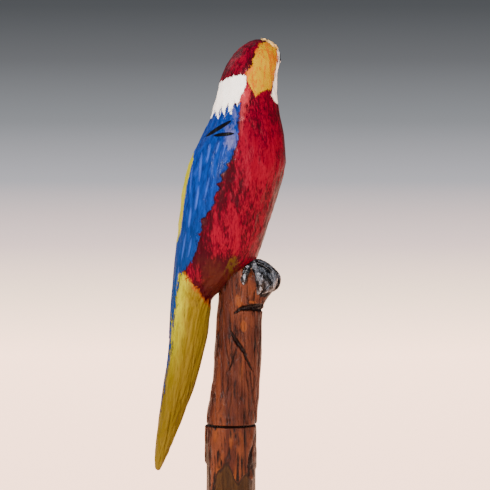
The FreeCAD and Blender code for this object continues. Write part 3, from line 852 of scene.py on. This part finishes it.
def makeBeak(name, stops, material, slot, node, groove):
    # an oval carried along the stops, each oval tilted forward; a seam groove runs along each side
    ahead = np.array([math.cos(headTurn), math.sin(headTurn), 0])
    right = np.array([math.sin(headTurn), -math.cos(headTurn), 0])
    index = np.arange(len(stops))
    at = np.linspace(0, len(stops) - 1, beak["rows"])[:, None]
    forward, height, tall, wide, tilt = [through(index, stops[:, k], at) for k in range(5)]
    turn = around(beak["columns"])
    tilt = np.radians(tilt)
    crest = 1 + 0.10 * bell(turn - math.pi / 2, 0.35)         # a soft keel along the top
    pinch = 1 - groove * bell(np.abs(np.cos(turn)) - 0.94, 0.05)
    up = tall * np.sin(turn) * crest
    side = wide * np.cos(turn) * pinch
    points = (np.array([headMiddle[0], headMiddle[1], 0])
              + (forward + up * np.sin(tilt))[..., None] * ahead + side[..., None] * right)
    points[..., 2] += (height + up * np.cos(tilt))
    points = lift(points)
    points = points + 0.10 * ripple(points, (3, 3, 6), 41)[..., None] * gridNormals(points)
    piece, _ = buildTube(name, points)
    tip = np.concatenate([(unit(at / (len(stops) - 1)) + 0 * turn).ravel(), [0, 1]])
    setFields(piece, {"tip": (tip - 0.80) * 2})
    return finishPiece(piece, "topper", slot, material, node)


perch = {
    # height above the ring, middle x, radius
    "rings": np.array([
        (0.3, 0.4, 13.7), (4.0, 0.6, 13.9), (7.5, 0.9, 13.7), (16.0, 2.1, 13.3), (29.0, 3.2, 12.9),
        (42.0, 3.9, 12.8), (55.0, 4.5, 12.4), (64.0, 4.9, 12.2), (78.0, 5.4, 11.8), (90.0, 5.6, 11.4)
    ]),
    # how far the knob reaches from the post's middle, at each height
    "knobReach": np.array([
        (58.0, 8.0), (62.0, 10.6), (66.0, 13.2), (70.3, 16.4), (74.6, 19.6), (78.2, 20.6),
        (81.4, 19.2), (85.0, 15.8), (90.0, 8.0)
    ]),
    "knobMiddle": 9.0,
    "rows": 300, "columns": 260,
    # strokes on the side towards the bird's right: x and height of both ends, half width, depth
    "grooves": [
        (1.2, 60.4, 9.0, 65.0, 1.2, 1.0), (3.4, 63.0, 20.0, 64.4, 1.9, 1.9),
        (7.0, 63.8, 22.0, 62.0, 1.7, 1.6), (-1.2, 63.0, 0.2, 46.0, 0.6, 0.6),
        (-0.6, 52.0, 4.4, 42.4, 1.0, 1.2), (1.4, 48.4, 9.0, 37.6, 1.3, 1.3),
        (5.6, 42.0, 12.4, 29.0, 0.8, 1.0), (10.4, 33.4, 12.4, 12.0, 0.6, 0.5),
        (3.2, 42.6, -1.6, 28.0, 0.7, 0.8), (-0.8, 31.6, -2.6, 12.0, 0.5, 0.5),
        (-4.6, 12.0, -7.6, 6.6, 0.5, 0.5), (-4.4, 12.0, -2.6, 5.0, 0.5, 0.5),
        (-10.2, 66.0, -9.6, 30.0, 0.6, 0.5), (-5.6, 70.0, -4.8, 42.0, 0.6, 0.45),
        (3.2, 30.0, 4.0, 9.0, 0.5, 0.4), (7.6, 26.0, 8.2, 8.0, 0.5, 0.45),
        (13.4, 56.0, 13.0, 30.0, 0.7, 0.5), (6.2, 76.0, 5.2, 66.0, 0.6, 0.5)
    ],
    "amber": [
        (3.2, 71.0, 5.2, 63.4, 2.0, 1.0), (6.6, 57.0, 7.0, 50.0, 2.2, 1.0),
        (9.0, 66.8, 14.0, 66.0, 1.2, 1.0), (5.6, 36.0, 5.0, 24.0, 1.6, 0.5)
    ],
    # pale cream strokes on top of the knob by the ankle, a painted highlight: x and height of both ends, half
    # width, depth
    "worn": [
        (6.6, 82.0, 8.6, 86.4, 0.9, 3.0), (8.6, 86.4, 13.2, 87.4, 1.0, 3.2),
        (9.4, 83.8, 12.4, 85.2, 0.6, 2.6), (5.4, 79.0, 6.6, 82.0, 0.6, 2.4),
        (14.0, 70.6, 15.6, 74.8, 0.5, 2.4)
    ],
}
# outline of the black paint round the foot: x and height above the ring
footPatch = [
    (12.4, 86.0), (12.9, 79.0), (14.2, 72.4), (15.6, 69.0), (20.6, 68.6), (24.8, 71.6), (28.0, 76.0),
    (28.0, 84.0), (20.0, 91.0), (12.0, 91.0)
]


def perchPoints(height, turn):
    # post radius, or the knob where it reaches further: b + sqrt(R^2 - d^2 sin^2), with b = d cos turn
    middle, radius = [readOff(perch["rings"], k, height) for k in (1, 2)]
    radius = radius * np.sqrt(np.clip(1 - unit((height - 80) / 10.5)**2, 0.0004, 1))
    reach = readOff(perch["knobReach"], 1, height)
    reach = np.where((height > 58) & (height < 90), reach, 0)
    d = perch["knobMiddle"]
    ball = np.clip(reach - d, 0, None)
    under = ball**2 - (d * np.sin(turn))**2
    knob = np.where(under > 0, d * np.cos(turn) + np.sqrt(np.clip(under, 0, None)), 0)
    blend = 1.2
    both = np.log(np.exp(np.clip(radius / blend, -50, 50)) + np.exp(np.clip(knob / blend, -50, 50))) * blend
    both = np.where(height > 80, np.maximum(radius, knob), both)
    return np.stack([middle + both * np.cos(turn), both * np.sin(turn), height + 0 * turn], -1)


def barkRelief(points, seed, deep=1.0):
    # long ridges parted by narrow furrows, and finer cracks along them
    long = ripple(points, (5.5, 5.5, 46), seed)
    fine = ripple(points, (2.4, 2.4, 20), seed + 1)
    flakes = ripple(points, (7, 7, 12), seed + 2)
    return deep * (-0.85 * bell(long, 0.16) - 0.35 * bell(fine, 0.22) + 0.22 * flakes)


def makePerch(material):
    lowRows = np.linspace(0.35, 3.0, 14)[:-1]   # rows crowd together over the rounded lower edge
    height = np.concatenate([lowRows, np.linspace(3.0, 89.8, perch["rows"] - len(lowRows))])[:, None]
    turn = around(perch["columns"])
    points = lift(perchPoints(height, turn))
    normals = gridNormals(points)
    x, y, h = placeOf(points)
    near = y < 0
    # the far side has the same strokes, moved about
    strokes = strokeDepth(np.where(near, x, 22 - x * 1.1), np.where(near, h, h * 0.9 + 6), perch["grooves"])
    bark = barkRelief(points, 61, 0.75)
    lip = -0.9 * unit(1 - (h - 0.3) / 0.9)**2
    offset = bark * np.clip((h - 0.3) / 3, 0.15, 1) - strokes + lip
    offset = offset * unit((90 - h) / 8)
    points = points + normals * offset[..., None]
    piece, verts = buildTube("perchPost", points)
    x, y, h = placeOf(verts)
    near = y < 0
    depth = np.concatenate([(strokes - np.minimum(bark, 0) * 0.8).ravel(), [0, 0]])
    seam = 1.2 * unit(1 - (h - 0.3) / 0.6)
    amber = strokeDepth(x, h, perch["amber"]) * near * 3 - 1.2
    setFields(piece, {
        "groove": np.maximum(depth - 0.35, seam), "amber": amber, "peeled": np.full(len(x), -9.0),
        "footPaint": outlineDistance(x, h, footPatch) - 0.5 * ~near,
        # the painted highlight on the knob's top by the ankle
        "worn": strokeDepth(x, h, perch["worn"]) * near,
    })
    return finishPiece(piece, "topper", "bark_wood", material, "perch_post")


shaftForm = {
    "rows": 640, "columns": 132,
    "foot": 10.98, "top": 13.8,         # the stick's radius in the rubber tip and at the ring
    "barkEnds": 23.0,                   # bark hangs this far below the ring, in tongues
    "knots": [(150.0, 0.6), (318.0, 2.9), (470.0, 4.6), (585.0, 1.4)],   # depth below the ring, turn
}


def fromKnots(turn, below):
    # distance from the middle of each knot, drawn out up and down
    away = []
    for depth, where in shaftForm["knots"]:
        gap = (turn - where + math.pi) % (2 * math.pi) - math.pi
        away.append(np.hypot(gap * 12, (below - depth) * 0.6))
    return away


def makeShaft(material):
    # a straight taper whose surface is bark close under the ring, then peeled wood with knots
    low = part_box("shaft")[0][2] / mm
    share = np.linspace(0, 1, shaftForm["rows"])[:, None]
    height = low + (ringHeight - low) * (1 - (1 - share)**1.9)
    turn = around(shaftForm["columns"])
    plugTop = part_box("rubber_tip")[1][2] / mm + 1.0
    foot, top = shaftForm["foot"], shaftForm["top"]
    taper = (height - plugTop) / (ringHeight - plugTop)
    radius = np.where(height < plugTop, foot, foot + (top - foot) * taper)
    radius = radius - 1.0 * unit(1 - (height - low) / 1.0)
    points = turned(radius, height, turn)
    below = ringHeight - points[..., 2]
    free = unit((points[..., 2] - plugTop - 2) / 12)
    tongues = 8 * ripple(points * [1, 1, 0.05], (9, 9, 60), 71) + 3 * np.sin(7 * turn)
    tongues = tongues + shaftForm["barkEnds"]
    onBark = unit((tongues - below) / 1.2)
    bark = barkRelief(points, 66, 0.9)
    peeled = -0.30 * np.abs(ripple(points, (8, 8, 70), 75)) + 0.12 * ripple(points, (3, 3, 30), 76)
    offset = (0.25 + bark) * onBark + (peeled - 0.25) * (1 - onBark)
    for away in fromKnots(turn, below):
        offset = offset + 1.3 * bell(away, 4.2) - 1.1 * bell(away, 1.5)
    offset = offset * free - 0.9 * unit(1 - below / 0.9)**2
    points = points + gridNormals(points) * offset[..., None]
    # the top turns inward to the hole that holds the brass sleeve, and down to its floor
    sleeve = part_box("joint_insert")
    bore = (sleeve[1][0] - sleeve[0][0]) / 2 / mm + 0.02
    floor = sleeve[0][2] / mm
    hole = np.array([
        (12.7, ringHeight), (12.4, ringHeight), (bore + 0.3, ringHeight), (bore, ringHeight - 0.3),
        (bore, ringHeight - 0.8), (bore, floor + 0.5), (bore, floor)
    ])[:, None, :]
    inner = turned(hole[..., 0], hole[..., 1], turn)
    piece, _ = buildTube("shaft", np.concatenate([points, inner]))
    knots = bell(np.min(fromKnots(turn, below), axis=0), 2.0)
    groove = np.maximum(-np.minimum(bark, 0) * 0.8 * onBark - 0.3, knots - 0.5)
    stain = unit(ripple(points, (4, 4, 30), 79)) * unit(below / 12)
    groove = groove + (0.15 + 0.75 * stain) * onBark
    groove = np.maximum(groove, 1.2 * unit(1 - below / 0.6))
    amber = np.where(below < tongues, 1.6 * ripple(points, (6, 6, 22), 78) - 1.3, -9)
    # each field's grid, and its value inside the hole
    fields = {"groove": (groove, 0), "amber": (amber, -9), "peeled": (below - tongues, 9),
              "footPaint": (groove * 0 - 9, -9)}
    setFields(piece, {name: np.concatenate([values.ravel(), np.full(inner[..., 0].size + 2, inside)])
                      for name, (values, inside) in fields.items()})
    return finishPiece(piece, "shaft", "bark_wood", material, "shaft")


feet = {
    # each toe: degrees round the perch and heights above the ring, from the ankle to the claw
    "right": [
        [(-52, 89.4), (-62, 87.0), (-74, 83.4), (-81, 79.6), (-84, 75.6)],
        [(-36, 89.6), (-44, 86.6), (-48, 82.2), (-46, 76.0), (-41, 70.0)],
        [(-24, 89.4), (-20, 86.0), (-19, 81.0), (-24, 75.6), (-33, 70.4)]
    ],
    "left": [
        [(52, 89.4), (62, 87.0), (74, 83.4), (81, 79.6), (84, 75.6)],
        [(36, 89.6), (44, 86.6), (48, 82.2), (46, 76.0), (41, 70.0)],
        [(20, 89.4), (10, 86.0), (4, 81.4), (3, 76.4), (10, 70.8)]
    ],
    "thick": np.array([
        (0.0, 2.3), (0.18, 2.1), (0.4, 1.6), (0.55, 1.9), (0.7, 1.45), (0.82, 1.7), (0.92, 1.2),
        (1.0, 0.35)
    ]),
    "heart": (10.0, 0, 77.0),           # a point inside the knob that the toes lie round
    "rows": 70, "columns": 26,
}


def toeParts(route):
    # a tube whose middle follows the perch's surface, with a knuckle at each joint and a claw at its end
    route = np.array(route, float)
    index = np.arange(len(route))
    at = np.linspace(0, len(route) - 1, feet["rows"])
    turn = np.radians(through(index, route[:, 0], at))
    height = through(index, route[:, 1], at)
    share = at / (len(route) - 1)
    middle = perchPoints(height, turn)
    outward = middle - np.array(feet["heart"])
    outward /= np.linalg.norm(outward, axis=1, keepdims=True)
    thick = readOff(feet["thick"], 1, share)[:, None]
    middle = middle + outward * (0.25 - 0.7 * unit(share - 0.85) / 0.15)[:, None]
    along = np.gradient(middle, axis=0)
    along /= np.linalg.norm(along, axis=1, keepdims=True)
    side = np.cross(along, outward)
    side /= np.linalg.norm(side, axis=1, keepdims=True)
    lid = np.cross(side, along)
    ring = around(feet["columns"])
    wrinkle = 1 + 0.07 * np.cos(share * 95)[:, None] * unit(np.sin(ring))
    points = (middle[:, None] + (thick * wrinkle * 1.1 * np.cos(ring))[..., None] * side[:, None]
              + (thick * wrinkle * 0.62 * np.sin(ring))[..., None] * lid[:, None])
    verts, quads, fans = tubeParts(lift(points)[:, ::-1])
    # 1 along each toe's outer crest, where the paint puts its pale grey, partly a painted highlight
    ridge = np.concatenate([(np.clip(np.sin(ring[:, ::-1]), -1, 1) + 0 * thick).ravel(), [0, 0]])
    return verts, quads, fans, ridge


def makeFoot(name, side, material, node):
    verts, quads, fans, ridges, count = [], [], [], [], 0
    for route in feet[side]:
        toeVerts, toeQuads, toeFans, ridge = toeParts(route)
        verts.append(toeVerts)
        quads.append(toeQuads + count)
        fans.append(toeFans + count)
        ridges.append(ridge)
        count += len(toeVerts)
    verts = np.vstack(verts)
    piece = buildMesh(name, verts, np.vstack(quads), np.vstack(fans))
    setFields(piece, {"ridge": np.concatenate(ridges)})
    return finishPiece(piece, "topper", "black_paint", material, node)


eyeForm = {"radius": 2.45, "sunk": 1.1, "rows": 40, "columns": 48}


def makeEye(name, side, material, node):
    # a bead, slightly flattened, sunk into the head
    yaw = headTurn - side * eyeTurn
    out = np.array([math.cos(yaw), math.sin(yaw), 0])
    reach = 1 / math.hypot(out[0] / headDepth[0], out[1] / headDepth[1])
    middle = np.array([headMiddle[0], headMiddle[1], eyeHeight]) + out * (reach - eyeForm["sunk"])
    side, up = np.array([-out[1], out[0], 0]), np.array([0, 0, 1.0])
    lean = np.linspace(0.02, math.pi - 0.02, eyeForm["rows"])[:, None]
    ring = around(eyeForm["columns"])
    radius = eyeForm["radius"] * (1 + 0.02 * np.cos(2 * ring))
    points = (middle + (radius * np.sin(lean) * np.cos(ring))[..., None] * side
              + (radius * np.sin(lean) * np.sin(ring))[..., None] * up
              - (radius * 0.96 * np.cos(lean) + 0 * ring)[..., None] * out)
    piece, _ = buildTube(name, lift(points))
    return finishPiece(piece, "topper", "eye_glass", material, node)


tipForm = {
    # radius and height round the outside, then up the inside of the cup
    "profile": np.array([
        (0.3, 0.0), (4.9, 0.0), (5.3, 0.3), (6.0, 1.5), (8.0, 1.5), (8.7, 0.3), (9.1, 0.0),
        (11.4, 0.0), (11.8, 0.3), (12.5, 1.5), (14.0, 1.5), (14.7, 0.3), (15.1, 0.0), (16.0, 0.0),
        (16.7, 0.35), (17.0, 1.2), (17.0, 4.8), (16.8, 5.6), (15.5, 9.0), (14.3, 12.8), (13.7, 16.0),
        (13.6, 18.0), (13.6, 31.6), (13.8, 32.3), (14.4, 33.0), (14.4, 35.0), (14.2, 35.6),
        (13.4, 36.0), (11.6, 36.0), (11.1, 35.6), (11.05, 34.8), (11.05, 8.2), (10.4, 8.2),
        (10.4, 7.0), (0.3, 7.0)
    ]),
    "barrelEnds": 23,                   # the profile's point where its barrel ends
    "ribsFrom": 17, "ribsTo": 31,       # heights
    "columns": 144, "ribs": 36, "ribDepth": 0.30,
}


def makeTip(material):
    # the profile turned round z, with shallow upright grip ribs on its barrel
    profile = tipForm["profile"]
    turn = around(tipForm["columns"])
    steps = np.linspace(0, len(profile) - 1, 4 * (len(profile) - 1) + 1)     # four rows to each step
    radius = np.interp(steps, np.arange(len(profile)), profile[:, 0])[:, None]
    height = np.interp(steps, np.arange(len(profile)), profile[:, 1])[:, None]
    ribbed = (steps < tipForm["barrelEnds"])[:, None]
    ribbed = ribbed & (height > tipForm["ribsFrom"]) & (height < tipForm["ribsTo"])
    rib = np.where(ribbed, tipForm["ribDepth"] * np.clip(np.sin(tipForm["ribs"] * turn) * 3, -1, 1), 0)
    points = turned(radius + rib, height, turn)
    piece, _ = buildTube("rubberTip", points)
    return finishPiece(piece, "tip", "tip_rubber", material, "rubber_tip")


studio = {
    "eye": (0.0076, -0.730, 0.802),         # where the camera stands
    "view": math.radians(20.6),             # its angle of view
    "lit": (0.0, 0.0, 0.80),                # what the lights point at
    "tall": 2.0,                            # metres of wall that the shades cover
    # share of that height, colour there
    "shades": [
        (0.0, (0.75, 0.46, 0.335, 1)), (0.19, (0.80, 0.50, 0.36, 1)), (0.29, (0.52, 0.37, 0.275, 1)),
        (0.40, (0.268, 0.202, 0.190, 1)), (0.525, (0.102, 0.100, 0.108, 1)),
        (0.64, (0.052, 0.054, 0.058, 1)), (0.76, (0.028, 0.029, 0.031, 1)),
        (0.865, (0.016, 0.017, 0.0185, 1)), (1.0, (0.012, 0.0125, 0.014, 1))
    ],
    "lights": [
        ("keyLight", (-0.9, -1.7, 1.6), 0.9, 86), ("fillLight", (0.9, -2.0, 1.1), 1.2, 26),
        ("rimLight", (-0.9, 0.9, 1.8), 0.8, 4)
    ],
}


def sweepMaterial():
    # the sweep darkens with height, as a lit floor fades into a plain wall
    material, sheet = newMaterial("sweepPaper")
    place = sheet.node("ShaderNodeTexCoord", out=3)
    high = sheet.node("ShaderNodeSeparateXYZ", {}, {0: place}, out=2)
    shade = sheet.node("ShaderNodeValToRGB", {"stops": studio["shades"]}, {0: high / studio["tall"]})
    weave = drawn(sheet, 1, 40, 2)
    glow = sheet.node("ShaderNodeEmission", {}, {"Color": shade, "Strength": 6.0})
    paper = sheet.node("ShaderNodeBsdfDiffuse", {}, {"Color": shade, "Roughness": 0.9 + weave * 0.1})
    both = sheet.node("ShaderNodeMixShader", {}, {0: 0.95, 1: paper, 2: glow})
    sheet.node("ShaderNodeOutputMaterial", {}, {"Surface": both})
    return material


def makeStage():
    # floor, then a quarter round, then a wall
    columns = 24
    wide = np.linspace(-7, 7, columns)[None, :]
    path = [(-6.0, 0.0), (-2.0, 0.0), (1.0, 0.0), (3.9, 0.0)]
    path += [(3.9 + 0.6 * math.sin(a), 0.6 - 0.6 * math.cos(a)) for a in np.linspace(0.1, math.pi / 2, 14)]
    path += [(4.5, 1.4), (4.5, 4.0)]
    path = np.array(path)
    points = np.stack([wide + 0 * path[:, :1], path[:, :1] + 0 * wide, path[:, 1:] + 0 * wide], -1)
    stage = buildMesh("sweep", points.reshape(-1, 3) / mm, gridFaces(len(path), columns, wrap=False))
    stage.data.materials.append(sweepMaterial())


def stand(name, thing, place, tilt, heading=0.0):
    held = bpy.data.objects.new(name, thing)
    held.location = place
    held.rotation_euler = (tilt, 0, heading)
    bpy.context.scene.collection.objects.link(held)
    return held


def makeLights():
    for name, place, size, power in studio["lights"]:
        lamp = bpy.data.lights.new(name, "AREA")
        lamp.shape, lamp.size, lamp.energy = "DISK", size, power
        lamp.color = (1.0, 0.97, 0.94)
        aim = np.array(studio["lit"]) - np.array(place)
        tilt = math.atan2(math.hypot(aim[0], aim[1]), -aim[2])
        stand(name, lamp, place, tilt, math.atan2(aim[0], -aim[1]) + math.pi)
    world = bpy.data.worlds.new("studioAir")
    world.use_nodes = True
    air = world.node_tree.nodes["Background"].inputs
    air[0].default_value = (0.80, 0.83, 0.88, 1)
    air[1].default_value = 0.35
    bpy.context.scene.world = world


def makeCamera():
    lens = bpy.data.cameras.new("camera")
    lens.sensor_fit = "HORIZONTAL"
    lens.angle = studio["view"]
    lens.clip_start = 0.01
    bpy.context.scene.camera = stand("camera", lens, studio["eye"], math.pi / 2)


makeCamera()
makeLights()
makeStage()
print("stage, lights and camera set")

feathers = macawPaint()
bark = barkWood()
claws = footPaint()
glass = eyeGlass()
horn = beakPaint("hornPaint", paint["cream"], paint["white"], (0.05, 0.04, 0.035, 1))
darkHorn = beakPaint("darkHornPaint", (0.02, 0.02, 0.022, 1), (0.07, 0.065, 0.06, 1), paint["black"])
print("materials made")

makeBody(feathers)
makeTail(feathers)
makeWing("rightWing", -1, feathers, "right_wing")
makeWing("leftWing", 1, feathers, "left_wing")
print("bird carved")

makeBeak("upperBeak", beak["upper"], horn, "cream_paint", "upper_beak", 0.06)
makeBeak("lowerBeak", beak["lower"], darkHorn, "black_paint", "lower_beak", 0.04)
makeEye("rightEye", 1, glass, "right_eye")
makeEye("leftEye", -1, glass, "left_eye")
makeFoot("rightFoot", "right", claws, "right_foot")
makeFoot("leftFoot", "left", claws, "left_foot")
print("beak, eyes and feet made")

makePerch(bark)
makeShaft(bark)
rubber = plainStock("tipRubber", (0.005, 0.005, 0.005, 1), (0.013, 0.0125, 0.012, 1), 900, (1, 1, 1), 0.62,
                    0.0, 0.12)
makeTip(rubber)
print("stick made")

steel = plainStock("platedSteel", (0.42, 0.42, 0.40, 1), (0.66, 0.65, 0.60, 1), 1200, (1, 1, 3), 0.32, 1.0)
brass = plainStock("turnedBrass", (0.48, 0.30, 0.09, 1), (0.70, 0.50, 0.20, 1), 1200, (1, 1, 3), 0.30, 1.0)
birch = plainStock("birchDowel", (0.46, 0.30, 0.16, 1), (0.62, 0.45, 0.27, 1), 500, (1, 1, 0.12), 0.60)
for node, material in {"joint_stud": steel, "tip_washer": steel, "joint_insert": brass,
                       "body_dowel": birch, "tail_pins": birch}.items():
    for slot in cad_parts[node].material_slots:
        slot.material = material
print("inner pieces finished")
